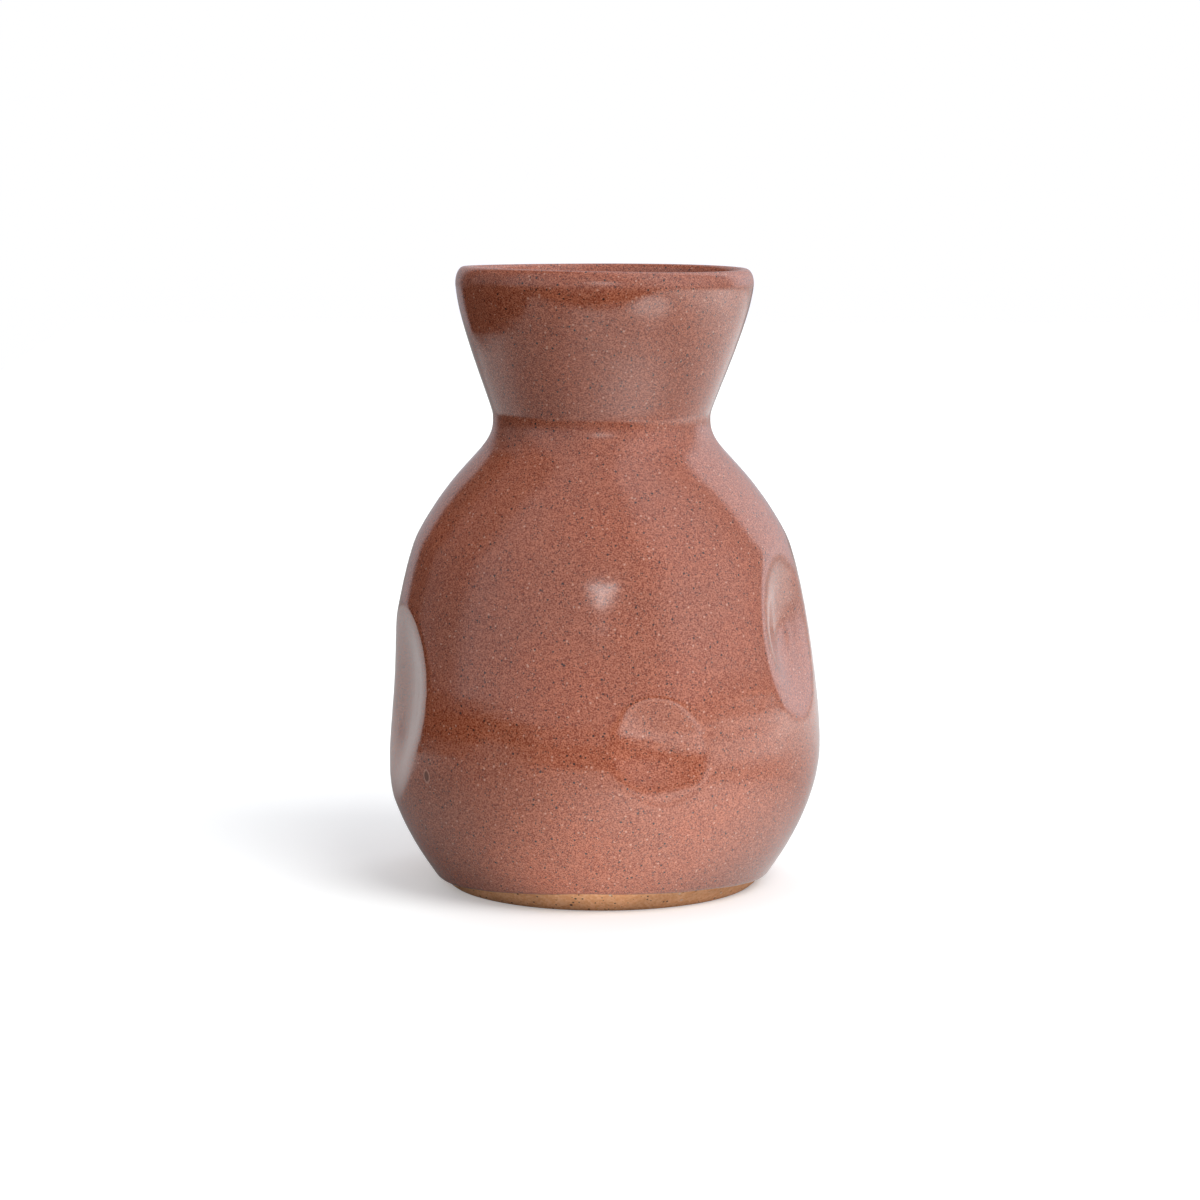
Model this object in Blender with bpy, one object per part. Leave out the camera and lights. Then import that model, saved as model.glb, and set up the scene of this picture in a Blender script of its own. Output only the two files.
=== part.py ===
"""Dented stoneware bottle: a thrown belly, a flared collar luted on at the waist, and two coats of glaze.

Metres, +Z up. The origin is the centre of the flat foot, on the surface that the bottle stands on.
The front of the bottle faces -Y.
"""

import math
from collections import namedtuple

import bmesh
import bpy
from mathutils import Vector
from mathutils.geometry import interpolate_bezier

# Outside of the clay
HEIGHT = 0.1500  # foot to the crest of the glazed lip
FOOT_RADIUS = 0.0370  # edge of the flat foot
BELLY_RADIUS = 0.0527  # widest part of the belly
BELLY_HEIGHT = 0.0344  # foot to the widest part
SHOULDER_INSET = 0.0089  # the shoulder lies this much inside the belly
SHOULDER_DROP = 0.0280  # and this far below the waist
SHOULDER_SLOPE = math.radians(61.0)  # rise of the shoulder's side, from level
WAIST_RADIUS = 0.02565  # narrowest part
COLLAR_HEIGHT = 0.0361  # waist to the crest of the glazed lip
RIM_RADIUS = 0.0352  # outer side of the lip
RIM_SLOPE = math.radians(85.0)  # rise of the collar's side under the lip, from level
LIP_DEPTH = 0.0035  # height of the round of the lip

# Fullness of the curves: how far each one keeps its direction, as a share of its span
FOOT_PULL = 0.045
BELLY_PULL_DOWN = 0.434
BELLY_PULL_UP = 0.260
SHOULDER_PULL_DOWN = 0.160
SHOULDER_PULL_UP = 0.636
WAIST_PULL_DOWN = 0.240
WAIST_PULL_UP = 0.073
RIM_PULL = 0.304
ROUND_PULL = 0.5523  # makes a quarter of an ellipse

# Walls and coats
FLOOR = 0.0055  # clay under the hollow
WALL = 0.0045  # clay of the belly
RIM_WALL = 0.0026  # clay of the lip
FLOOR_FILLET = 0.0120  # reach of the curve from the floor to the wall
GLAZE = 0.0005  # coat on the outside
LINER = 0.0005  # coat on the inside
GLAZE_LINE = 0.0042  # the foot is bare clay up to this height
LUTE = 0.0006  # slip in the joint of belly and collar
SEAT_RISE = 0.0015  # the joint slopes up this much from the outside to the inside
FIT_GAP = 0.0003  # between pieces that touch

# Marks of the hand. A fade near 1 makes a flat with a firm edge, 2 a soft hollow.
# The slant is how much the dent climbs for each step to the right.
Dent = namedtuple("Dent", "angle height half_width half_height depth fade slant")
LEFT_DENT = Dent(
    angle=-76.8, height=0.0456, half_width=0.0236, half_height=0.0241, depth=0.0058, fade=1.3, slant=0.10
)
RIGHT_DENT = Dent(
    angle=67.0, height=0.0640, half_width=0.0180, half_height=0.0230, depth=0.0036, fade=2.0, slant=0.0
)
FRONT_DENT = Dent(
    angle=15.0, height=0.0398, half_width=0.0120, half_height=0.0132, depth=0.0017, fade=1.2, slant=-0.15
)
LOW_DENT = Dent(
    angle=-33.0, height=0.0300, half_width=0.0250, half_height=0.0220, depth=0.00055, fade=2.0, slant=0.0
)
SIDE_DENT = Dent(
    angle=37.0, height=0.0410, half_width=0.0170, half_height=0.0170, depth=0.00030, fade=2.0, slant=0.0
)
DENTS = (LEFT_DENT, RIGHT_DENT, FRONT_DENT, LOW_DENT, SIDE_DENT)
COLLAR_LEAN = 0.0007  # the rim stands this far towards +X
RIM_TILT = 0.00025  # the rim is this much lower at +X and higher at -X
RIM_WAVE = 0.00013  # two rises and falls of the rim

# Facets
STEPS_ROUND = 40
FOOT_ROWS = 8
BELLY_ROWS = 7
SHOULDER_ROWS = 8
COLLAR_ROWS = 7
LIP_ROWS = 4
FILLET_ROWS = 4
SMOOTH_BELOW = math.radians(40.0)

# Colours, linear
GLAZE_COLOUR = (0.376, 0.135, 0.088, 1.0)
LINER_COLOUR = (0.330, 0.118, 0.078, 1.0)
CLAY_COLOUR = (0.500, 0.270, 0.130, 1.0)
SLIP_COLOUR = (0.420, 0.215, 0.105, 1.0)

# Heights that follow from these
COAT = FIT_GAP + GLAZE
CREST_HEIGHT = HEIGHT - COAT
RIM_HEIGHT = CREST_HEIGHT - LIP_DEPTH
WAIST_HEIGHT = HEIGHT - COLLAR_HEIGHT
JOINT = LUTE + 2 * FIT_GAP
WAIST_LOW = Vector((WAIST_RADIUS, WAIST_HEIGHT - JOINT / 2))
WAIST_HIGH = Vector((WAIST_RADIUS, WAIST_HEIGHT + JOINT / 2))
RIM_WAY = Vector((math.cos(RIM_SLOPE), math.sin(RIM_SLOPE)))

# A row is one ring of points: its place in the section, the way the surface faces there,
# and the height on the outside of the clay that it lies behind or in front of.
Row = namedtuple("Row", "place facing skin")


def curve(start, start_way, start_pull, end, end_way, end_pull, rows):
    """Points of a section curve that leaves one point and reaches another in given directions."""
    span = (end - start).length
    handle_out = start + start_way * span * start_pull
    handle_in = end - end_way * span * end_pull
    points = interpolate_bezier(start, handle_out, handle_in, end, rows)
    return [Vector(point[:2]) for point in points]


def rows_of(points, skins, side):
    """Rows along a section line, facing to its right (side 1) or to its left (side -1)."""
    rows = []
    for i, point in enumerate(points):
        before = points[max(i - 1, 0)]
        after = points[min(i + 1, len(points) - 1)]
        along = (after - before).normalized()
        rows.append(Row(point, Vector((along.y, -along.x)) * side, skins[i]))
    return rows


def split_at(rows, height):
    """The rows below and above a height, with one more row on the line at that height in both."""
    for i, (low, high) in enumerate(zip(rows, rows[1:])):
        if low.place.y < height <= high.place.y:
            break
    share = (height - low.place.y) / (high.place.y - low.place.y)
    cut = Row(
        low.place.lerp(high.place, share),
        low.facing.lerp(high.facing, share).normalized(),
        low.skin + (high.skin - low.skin) * share,
    )
    return rows[: i + 1] + [cut], [cut] + rows[i + 1 :]


def moved_out(rows, distance):
    """The same rows, each moved the way it faces."""
    return [Row(row.place + row.facing * distance, row.facing, row.skin) for row in rows]


def outside_points():
    """Outer side of the clay, from the edge of the foot to the rim: belly part and collar part."""
    up = Vector((0.0, 1.0))
    out = Vector((1.0, 0.0))
    foot = Vector((FOOT_RADIUS, 0.0))
    belly = Vector((BELLY_RADIUS, BELLY_HEIGHT))
    shoulder = Vector((BELLY_RADIUS - SHOULDER_INSET, WAIST_HEIGHT - SHOULDER_DROP))
    shoulder_way = Vector((-math.cos(SHOULDER_SLOPE), math.sin(SHOULDER_SLOPE)))
    rim = Vector((RIM_RADIUS, RIM_HEIGHT))
    lower = curve(foot, out, FOOT_PULL, belly, up, BELLY_PULL_DOWN, FOOT_ROWS)
    upper = curve(belly, up, BELLY_PULL_UP, shoulder, shoulder_way, SHOULDER_PULL_DOWN, BELLY_ROWS)
    neck = curve(
        shoulder, shoulder_way, SHOULDER_PULL_UP, WAIST_LOW, up, WAIST_PULL_DOWN, SHOULDER_ROWS
    )
    collar = curve(WAIST_HIGH, up, WAIST_PULL_UP, rim, RIM_WAY, RIM_PULL, COLLAR_ROWS)
    return lower[:-1] + upper[:-1] + neck, collar


def lip_points(outer, inner):
    """Round of the lip, from its outer side over the crest to its inner side."""
    crest = Vector(((outer.x + inner.x) / 2, CREST_HEIGHT))
    over = Vector((-1.0, 0.0))

    def quarter(start, start_way, end, end_way, start_reach, end_reach):
        handle_out = start + start_way * start_reach * ROUND_PULL
        handle_in = end - end_way * end_reach * ROUND_PULL
        points = interpolate_bezier(start, handle_out, handle_in, end, LIP_ROWS)
        return [Vector(point[:2]) for point in points]

    half = (outer.x - inner.x) / 2
    rise_out = quarter(outer, RIM_WAY, crest, over, crest.y - outer.y, half)
    fall_in = quarter(crest, over, inner, -RIM_WAY, half, crest.y - inner.y)
    return rise_out + fall_in[1:]


def clay_wall(height):
    """Thickness of the clay: even in the belly, thinner from the waist to the rim."""
    share = (height - WAIST_HIGH.y) / (RIM_HEIGHT - WAIST_HIGH.y)
    return WALL + (RIM_WALL - WALL) * min(max(share, 0.0), 1.0)


def inside_rows(belly, collar):
    """Rows of the hollow, from the middle of the floor up to the rim, facing the hollow."""
    joint_rise = Vector((0.0, SEAT_RISE))
    walls = []
    for row in belly + collar:
        place = row.place - row.facing * clay_wall(row.place.y)
        if row.place in (WAIST_LOW, WAIST_HIGH):
            place = row.place + joint_rise - Vector((clay_wall(row.place.y), 0.0))
        if row.skin > FLOOR + FLOOR_FILLET:
            walls.append((place, row.skin))
    start = Vector((walls[0][0].x - FLOOR_FILLET, FLOOR))
    climb = (walls[1][0] - walls[0][0]).normalized()
    fillet = curve(
        start, Vector((1.0, 0.0)), ROUND_PULL, walls[0][0], climb, ROUND_PULL / 2, FILLET_ROWS
    )
    floor = [Vector((0.0, FLOOR)), Vector((start.x / 2, FLOOR))] + fillet[:-1]
    points = floor + [place for place, _ in walls]
    skins = [point.y for point in floor] + [skin for _, skin in walls]
    return rows_of(points, skins, -1)


def press(angle, skin):
    """How far the dents push the wall in at this angle and height, each inside its own ellipse."""
    depth = 0.0
    for dent in DENTS:
        turn = math.remainder(angle - math.radians(dent.angle), math.tau)
        sideways = turn * BELLY_RADIUS
        across = sideways / dent.half_width
        along = (skin - dent.height - sideways * dent.slant) / dent.half_height
        inside = 1.0 - across**2 - along**2
        if inside > 0.0:
            depth += dent.depth * inside**dent.fade
    return depth


def shaped(place, skin):
    """A point of the turned form moved by the dents, the lean of the collar and the uneven rim."""
    radius = math.hypot(place.x, place.y)
    if radius == 0.0:
        return place
    angle = math.atan2(place.x, -place.y)
    pressed = (radius - press(angle, skin)) / radius
    rise = max((place.z - WAIST_HIGH.y) / (RIM_HEIGHT - WAIST_HIGH.y), 0.0)
    lean = COLLAR_LEAN * rise
    fall = rise**2 * (RIM_TILT * math.sin(angle) + RIM_WAVE * math.sin(2.0 * angle))
    return Vector((place.x * pressed + lean, place.y * pressed, place.z - fall))


def cut_facets(mesh_edit, skin_layer):
    """Cuts each four-sided facet from lower left to upper right, so that coats stay parallel."""

    def order(point):
        return point[skin_layer], round(point.co.xy.length, 6), point.co.z

    for facet in [face for face in mesh_edit.faces if len(face.verts) == 4]:
        low_a, low_b, high_a, high_b = sorted(facet.verts, key=order)
        left = low_a if low_a.co.cross(low_b.co).z > 0.0 else low_b
        right = high_b if high_a.co.cross(high_b.co).z > 0.0 else high_a
        bmesh.utils.face_split(facet, left, right)


def turned(name, section, closed, material, parent):
    """A piece spun from its section, then shaped by hand. A section that isn't closed ends on the axis."""
    mesh_edit = bmesh.new()
    skin_layer = mesh_edit.verts.layers.float.new("skin")
    points = []
    for row in section:
        point = mesh_edit.verts.new((row.place.x, 0.0, row.place.y))
        point[skin_layer] = row.skin
        points.append(point)
    links = list(zip(points, points[1:]))
    if closed:
        links.append((points[-1], points[0]))
    edges = [mesh_edit.edges.new(link) for link in links]
    bmesh.ops.spin(
        mesh_edit,
        geom=points + edges,
        cent=(0.0, 0.0, 0.0),
        axis=(0.0, 0.0, 1.0),
        angle=math.tau,
        steps=STEPS_ROUND,
        use_merge=True,
    )
    bmesh.ops.remove_doubles(mesh_edit, verts=mesh_edit.verts, dist=FIT_GAP / 100)
    cut_facets(mesh_edit, skin_layer)
    for point in mesh_edit.verts:
        point.co = shaped(point.co, point[skin_layer])
    mesh_edit.verts.layers.float.remove(skin_layer)
    bmesh.ops.recalc_face_normals(mesh_edit, faces=mesh_edit.faces)
    mesh = bpy.data.meshes.new(name)
    mesh_edit.to_mesh(mesh)
    mesh_edit.free()
    mesh.shade_smooth()
    mesh.set_sharp_from_angle(angle=SMOOTH_BELOW)
    mesh.materials.append(material)
    piece = bpy.data.objects.new(name, mesh)
    piece.parent = parent
    bpy.context.scene.collection.objects.link(piece)


def coat(rows, thickness):
    """Section of a coat that lies on these rows."""
    under = moved_out(rows, FIT_GAP)
    over = moved_out(rows, FIT_GAP + thickness)
    return over + under[::-1]


def finish(name, colour, roughness):
    material = bpy.data.materials.new(name)
    material.use_nodes = True
    material.diffuse_color = colour
    shader = material.node_tree.nodes["Principled BSDF"]
    shader.inputs["Base Color"].default_value = colour
    shader.inputs["Roughness"].default_value = roughness
    shader.inputs["Metallic"].default_value = 0.0
    return material


def luting_section(inner_low, inner_high):
    """The ring of slip between the two sloping faces of the joint."""
    gap = Vector((0.0, FIT_GAP))
    corners = (WAIST_LOW + gap, WAIST_HIGH - gap, inner_high - gap, inner_low + gap)
    return [Row(corner, Vector((0.0, 0.0)), WAIST_HEIGHT) for corner in corners]


def build():
    for old in list(bpy.data.objects):
        bpy.data.objects.remove(old, do_unlink=True)

    belly_points, collar_points = outside_points()
    outside = belly_points + collar_points
    rows = rows_of(outside, [point.y for point in outside], 1)
    belly = rows[: len(belly_points)]
    collar = rows[len(belly_points) :]
    hollow = inside_rows(belly, collar)
    hollow_belly = hollow[: -len(collar)]
    hollow_collar = hollow[-len(collar) :]

    round_lip = lip_points(collar_points[-1], hollow_collar[-1].place)
    over_lip = outside + round_lip[1:]
    skins = [point.y for point in outside] + [RIM_HEIGHT] * (len(round_lip) - 1)
    outer_rows = rows_of(over_lip, skins, 1)
    glazed = split_at(outer_rows, GLAZE_LINE)[1]
    lip_rows = outer_rows[len(outside) : -1]

    lined = split_at(hollow, hollow[-1].place.y - FIT_GAP)[0]
    lining_under = moved_out(lined, FIT_GAP)
    lining_over = moved_out(lined, FIT_GAP + LINER)

    stand = bpy.data.objects.new("bottle", None)
    bpy.context.scene.collection.objects.link(stand)
    clay = finish("fired_clay", CLAY_COLOUR, 0.85)
    slip = finish("luting_slip", SLIP_COLOUR, 0.90)
    glaze = finish("speckled_glaze", GLAZE_COLOUR, 0.15)
    liner = finish("liner_glaze", LINER_COLOUR, 0.18)

    base = [Row(Vector((0.0, 0.0)), Vector((0.0, -1.0)), 0.0)]
    turned("stoneware_belly", base + belly + hollow_belly[::-1], False, clay, stand)
    turned("stoneware_collar", collar + lip_rows + hollow_collar[::-1], True, clay, stand)
    joint = luting_section(hollow_belly[-1].place, hollow_collar[0].place)
    turned("luting_slip", joint, True, slip, stand)
    turned("outer_glaze", coat(glazed, GLAZE), True, glaze, stand)
    turned("liner_glaze", lining_under + lining_over[::-1], False, liner, stand)


build()
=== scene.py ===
import math

import bpy
import numpy as np
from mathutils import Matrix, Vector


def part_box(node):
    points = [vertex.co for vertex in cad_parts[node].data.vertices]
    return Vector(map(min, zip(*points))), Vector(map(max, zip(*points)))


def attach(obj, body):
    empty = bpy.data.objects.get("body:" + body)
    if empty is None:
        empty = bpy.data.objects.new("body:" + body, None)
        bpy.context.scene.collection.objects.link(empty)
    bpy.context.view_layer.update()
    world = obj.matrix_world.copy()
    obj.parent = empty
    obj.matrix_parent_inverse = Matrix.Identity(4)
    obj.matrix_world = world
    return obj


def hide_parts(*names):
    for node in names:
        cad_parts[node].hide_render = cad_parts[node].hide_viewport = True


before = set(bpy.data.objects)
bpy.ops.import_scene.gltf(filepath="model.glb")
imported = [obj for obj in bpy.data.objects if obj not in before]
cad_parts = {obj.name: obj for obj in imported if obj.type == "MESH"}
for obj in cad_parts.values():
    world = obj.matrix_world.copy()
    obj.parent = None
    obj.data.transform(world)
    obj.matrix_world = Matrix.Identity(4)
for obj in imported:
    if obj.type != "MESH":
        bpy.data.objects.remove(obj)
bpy.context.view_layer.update()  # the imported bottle: clay belly, clay collar, slip ring and two coats of glaze
print("frame loaded:", ", ".join(sorted(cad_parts)))

mm = 0.001
upWay = np.array((0.0, 1.0))  # section directions: away from the axis, and up
outWay = np.array((1.0, 0.0))

# The thrown form that every layer follows. Heights and the belly's width come from the frame.
thrownForm = {
    "footRadius": 37.0 * mm,
    "bellyRadius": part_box("stoneware_belly")[1].y,
    "bellyHeight": 34.4 * mm,
    "shoulderInset": 8.9 * mm,
    "shoulderDrop": 28.0 * mm,
    "shoulderSlope": 61.0,  # degrees
    "waistRadius": 25.65 * mm,
    "collarHeight": 36.1 * mm,
    "rimRadius": 35.2 * mm,
    "rimSlope": 85.0,
    "lipDepth": 3.5 * mm,
    "rimTilt": 0.25 * mm,
    "rimWave": 0.13 * mm,
    "collarLean": 0.7 * mm,
    "gap": 0.3 * mm,  # between the layers
    "glaze": 0.5 * mm,
    "lute": 0.6 * mm,
    "seatRise": 1.5 * mm,
    "floor": 5.5 * mm,
    "floorFillet": 12.0 * mm,
    "wall": 4.5 * mm,
    "rimWall": 2.6 * mm,
    "stillRadius": 10.0 * mm,  # the dents fade out from here to the axis
    "calmFoot": 8.0 * mm,  # the unevenness fades out from here to the foot
    "roundSteps": 60,
    "flatSteps": 40,
    "columns": 320,
}
thrownForm["coat"] = thrownForm["gap"] + thrownForm["glaze"]
thrownForm["waist"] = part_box("luting_slip")[0].z + thrownForm["lute"] / 2
thrownForm["crest"] = thrownForm["waist"] + thrownForm["collarHeight"] - thrownForm["coat"]
thrownForm["rim"] = thrownForm["crest"] - thrownForm["lipDepth"]
thrownForm["halfJoint"] = thrownForm["lute"] / 2 + thrownForm["gap"]

# How far each curve of the outline keeps its direction, as a share of its span
curvePulls = {
    "foot": 0.045,
    "bellyDown": 0.434,
    "bellyUp": 0.260,
    "shoulderDown": 0.160,
    "shoulderUp": 0.636,
    "waistDown": 0.240,
    "waistUp": 0.073,
    "rim": 0.304,
    "quarterRound": 0.5523,
}

# Dents pressed by hand: where round the belly (0 is the front, 90 is +X), how high, how wide and how deep.
# A fade near 1 leaves a flat with a firm edge, 2 a soft hollow. Slant is the rise for a step to the right.
# The last one swells out, so its depth is negative.
handDents = [
    {
        "angle": -76.8, "height": 45.6 * mm, "halfWidth": 23.6 * mm, "halfHeight": 24.1 * mm,
        "depth": 5.8 * mm, "fade": 1.3, "slant": 0.10,
    },
    {
        "angle": 67.0, "height": 64.0 * mm, "halfWidth": 18.0 * mm, "halfHeight": 23.0 * mm,
        "depth": 3.6 * mm, "fade": 2.0, "slant": 0.0,
    },
    {
        "angle": 15.0, "height": 39.8 * mm, "halfWidth": 12.0 * mm, "halfHeight": 13.2 * mm,
        "depth": 1.7 * mm, "fade": 1.2, "slant": -0.15,
    },
    {
        "angle": -33.0, "height": 30.0 * mm, "halfWidth": 25.0 * mm, "halfHeight": 22.0 * mm,
        "depth": 0.55 * mm, "fade": 2.0, "slant": 0.0,
    },
    {
        "angle": 37.0, "height": 41.0 * mm, "halfWidth": 17.0 * mm, "halfHeight": 17.0 * mm,
        "depth": 0.30 * mm, "fade": 2.0, "slant": 0.0,
    },
    {
        "angle": 62.0, "height": 62.5 * mm, "halfWidth": 9.0 * mm, "halfHeight": 13.0 * mm,
        "depth": 0.55 * mm, "fade": 1.6, "slant": 0.0,
    },
    {
        "angle": -99.0, "height": 31.5 * mm, "halfWidth": 12.0 * mm, "halfHeight": 12.0 * mm,
        "depth": 0.18 * mm, "fade": 2.0, "slant": 0.0,
    },
    {
        "angle": 0.5, "height": 77.5 * mm, "halfWidth": 10.0 * mm, "halfHeight": 10.0 * mm,
        "depth": -0.14 * mm, "fade": 2.0, "slant": 0.0,
    },
]

# Slow unevenness of a thrown wall, always inwards: waves round and up the form
thrownWaves = [
    {"round": 3, "pitch": 71.0 * mm, "start": 0.4, "depth": 0.05 * mm},
    {"round": 5, "pitch": 43.0 * mm, "start": 2.1, "depth": 0.04 * mm},
    {"round": 8, "pitch": 29.0 * mm, "start": 4.4, "depth": 0.02 * mm},
]


# Cubic curve from start to end: leaves along startWay and arrives along endWay,
# each kept for its pull as a share of the span
def curveBetween(start, startWay, startPull, end, endWay, endPull, steps=200):
    span = np.linalg.norm(end - start)
    handleOut = start + startWay * span * startPull
    handleIn = end - endWay * span * endPull
    t = np.linspace(0.0, 1.0, steps)[:, None]
    return (
        (1 - t) ** 3 * start
        + 3 * (1 - t) ** 2 * t * handleOut
        + 3 * (1 - t) * t**2 * handleIn
        + t**3 * end
    )


def slopeWay(degrees):
    return np.array((math.cos(math.radians(degrees)), math.sin(math.radians(degrees))))


# Section line as a table: distance along it, radius, height, the way it faces,
# and the outside height it belongs to
def lineTable(points, skin, side):
    steps = np.linalg.norm(np.diff(points, axis=0), axis=1)
    keep = np.concatenate(([True], steps > 1e-9))
    points, skin = points[keep], skin[keep]
    along = np.concatenate(([0.0], np.cumsum(np.linalg.norm(np.diff(points, axis=0), axis=1))))
    way = np.gradient(points, along, axis=0)
    way /= np.linalg.norm(way, axis=1)[:, None]
    return {
        "along": along,
        "radius": points[:, 0],
        "height": points[:, 1],
        "faceOut": way[:, 1] * side,
        "faceUp": -way[:, 0] * side,
        "skin": skin,
    }


def readLine(table, along, name):
    return np.interp(along, table["along"], table[name])


# Outer side of the clay from the foot's edge to the waist, and from the waist to the rim
def outsideCurves():
    f, p = thrownForm, curvePulls
    foot = np.array((f["footRadius"], 0.0))
    belly = np.array((f["bellyRadius"], f["bellyHeight"]))
    shoulder = np.array((f["bellyRadius"] - f["shoulderInset"], f["waist"] - f["shoulderDrop"]))
    shoulderWay = slopeWay(180.0 - f["shoulderSlope"])
    waistLow = np.array((f["waistRadius"], f["waist"] - f["halfJoint"]))
    waistHigh = np.array((f["waistRadius"], f["waist"] + f["halfJoint"]))
    rim = np.array((f["rimRadius"], f["rim"]))
    lower = curveBetween(foot, outWay, p["foot"], belly, upWay, p["bellyDown"])
    upper = curveBetween(belly, upWay, p["bellyUp"], shoulder, shoulderWay, p["shoulderDown"])
    neck = curveBetween(shoulder, shoulderWay, p["shoulderUp"], waistLow, upWay, p["waistDown"])
    collar = curveBetween(waistHigh, upWay, p["waistUp"], rim, slopeWay(f["rimSlope"]), p["rim"])
    return np.concatenate((lower, upper, neck)), collar


# Round of the lip: two quarter ellipses from the outer rim over the crest to the inner rim
def lipCurve(outer, inner):
    f, q = thrownForm, curvePulls["quarterRound"]
    side = slopeWay(f["rimSlope"])
    crest = np.array(((outer[0] + inner[0]) / 2, f["crest"]))
    half = (outer[0] - inner[0]) / 2
    spanOut = np.linalg.norm(crest - outer)
    spanIn = np.linalg.norm(crest - inner)
    steps = f["roundSteps"]
    rise = curveBetween(
        outer, side, q * (crest[1] - outer[1]) / spanOut, crest, -outWay, q * half / spanOut, steps
    )
    fall = curveBetween(
        crest, -outWay, q * half / spanIn, inner, -side, q * (crest[1] - inner[1]) / spanIn, steps
    )
    return np.concatenate((rise, fall))


# Hollow from the middle of the floor to the inner rim: the outside moved in by the wall,
# with a filleted floor
def hollowLine(outside):
    f = thrownForm
    collarShare = np.clip(
        (outside["height"] - f["waist"] - f["halfJoint"]) / (f["rim"] - f["waist"] - f["halfJoint"]), 0, 1
    )
    wall = f["wall"] + (f["rimWall"] - f["wall"]) * collarShare
    radius = outside["radius"] - outside["faceOut"] * wall
    height = outside["height"] - outside["faceUp"] * wall
    use = outside["skin"] > f["floor"] + f["floorFillet"]
    walls = np.stack((radius, height), axis=1)[use]
    wallSkin = outside["skin"][use]
    start = np.array((walls[0, 0] - f["floorFillet"], f["floor"]))
    climb = walls[1] - walls[0]
    climb /= np.linalg.norm(climb)
    pull = curvePulls["quarterRound"]
    fillet = curveBetween(start, outWay, pull, walls[0], climb, pull / 2, f["roundSteps"])
    flatRadius = np.linspace(0.0, start[0], f["flatSteps"])
    flat = np.stack((flatRadius, np.full(f["flatSteps"], f["floor"])), axis=1)
    low = np.concatenate((flat, fillet))
    lowSkin = low[:, 1] * wallSkin[0] / walls[0, 1]
    return lineTable(np.concatenate((low, walls)), np.concatenate((lowSkin, wallSkin)), -1)


# Depth of all dents at an angle and height: each is (1 - away^2)^fade over an ellipse,
# where away is 1 on its edge
def dentDepth(angle, skin):
    depth = np.zeros(np.broadcast(angle, skin).shape)
    for dent in handDents:
        turn = angle - math.radians(dent["angle"])
        turn = np.arctan2(np.sin(turn), np.cos(turn))
        sideways = turn * thrownForm["bellyRadius"]
        across = sideways / dent["halfWidth"]
        upDown = (skin - dent["height"] - sideways * dent["slant"]) / dent["halfHeight"]
        inside = np.clip(1.0 - across**2 - upDown**2, 0.0, 1.0)
        depth += dent["depth"] * inside ** dent["fade"]
    return depth


# Unevenness at an angle and height: sums of sines, each raised so that it only goes inwards
def unevenDepth(angle, skin):
    depth = np.zeros(np.broadcast(angle, skin).shape)
    for wave in thrownWaves:
        turn = wave["round"] * angle + wave["start"]
        depth += wave["depth"] * (1.0 + np.sin(turn) * np.cos(2 * np.pi * skin / wave["pitch"] + turn)) / 2
    return depth


# Points round the axis, pressed by the dents, leaning with the collar and waving with the rim
def shapedGrid(angle, radius, height, skin):
    f = thrownForm
    low = f["waist"] + f["halfJoint"]
    rise = np.maximum((height - low) / (f["rim"] - low), 0.0)
    nearAxis = np.clip(radius / f["stillRadius"], 0.0, 1.0)
    aboveFoot = np.clip(skin / f["calmFoot"], 0.0, 1.0)
    radius = radius - (dentDepth(angle, skin) + unevenDepth(angle, skin) * aboveFoot) * nearAxis
    x = radius * np.sin(angle) + f["collarLean"] * rise
    y = -radius * np.cos(angle)
    z = height - rise**2 * (f["rimTilt"] * np.sin(angle) + f["rimWave"] * np.sin(2 * angle))
    return np.stack(np.broadcast_arrays(x, y, z), axis=-1)


# Squares between neighbouring rows and columns; the last column meets the first, and so may the rows
def gridSquares(rows, columns, closedRows):
    row = np.arange(rows if closedRows else rows - 1)[:, None]
    column = np.arange(columns)[None, :]
    nextRow = (row + 1) % rows
    nextColumn = (column + 1) % columns
    corners = (
        row * columns + column,
        row * columns + nextColumn,
        nextRow * columns + nextColumn,
        nextRow * columns + column,
    )
    return np.stack(np.broadcast_arrays(*corners), axis=-1).reshape(-1, 4)


# A piece from its grid of points. Open rows close in a point at the middle of the first and the last row.
def gridPiece(name, points, closedRows, material, marks=None):
    rows, columns = points.shape[:2]
    flat = points.reshape(-1, 3)
    faces = gridSquares(rows, columns, closedRows).tolist()
    if not closedRows:
        ends = points[[0, -1]].mean(axis=1)
        column = np.arange(columns)
        nextColumn = (column + 1) % columns
        first, last = rows * columns, rows * columns + 1
        top = (rows - 1) * columns
        faces += np.stack((nextColumn, column, np.full(columns, first)), axis=1).tolist()
        faces += np.stack((top + column, top + nextColumn, np.full(columns, last)), axis=1).tolist()
        flat = np.concatenate((flat, ends))
    mesh = bpy.data.meshes.new(name)
    mesh.from_pydata(flat.tolist(), [], faces)
    # Marks, if given, set where the glaze is drawn darker brown along its lower edge
    if marks is not None:
        values = np.zeros(len(flat), dtype=np.float32)
        values[: rows * columns] = marks.reshape(-1)
        mesh.attributes.new("glazeEdgeBrown", "FLOAT", "POINT").data.foreach_set("value", values)
    mesh.shade_smooth()
    mesh.materials.append(material)
    mesh.validate()
    piece = bpy.data.objects.new(name, mesh)
    bpy.context.scene.collection.objects.link(piece)
    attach(piece, "root")
    print("piece", name, len(mesh.polygons), "faces")
    return piece


# Distances that crowd towards both ends of a span
def crowdedSteps(start, end, count, crowd):
    t = np.linspace(0.0, 1.0, count)
    return start + (end - start) * (t - crowd * np.sin(2 * np.pi * t) / (2 * np.pi))


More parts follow.
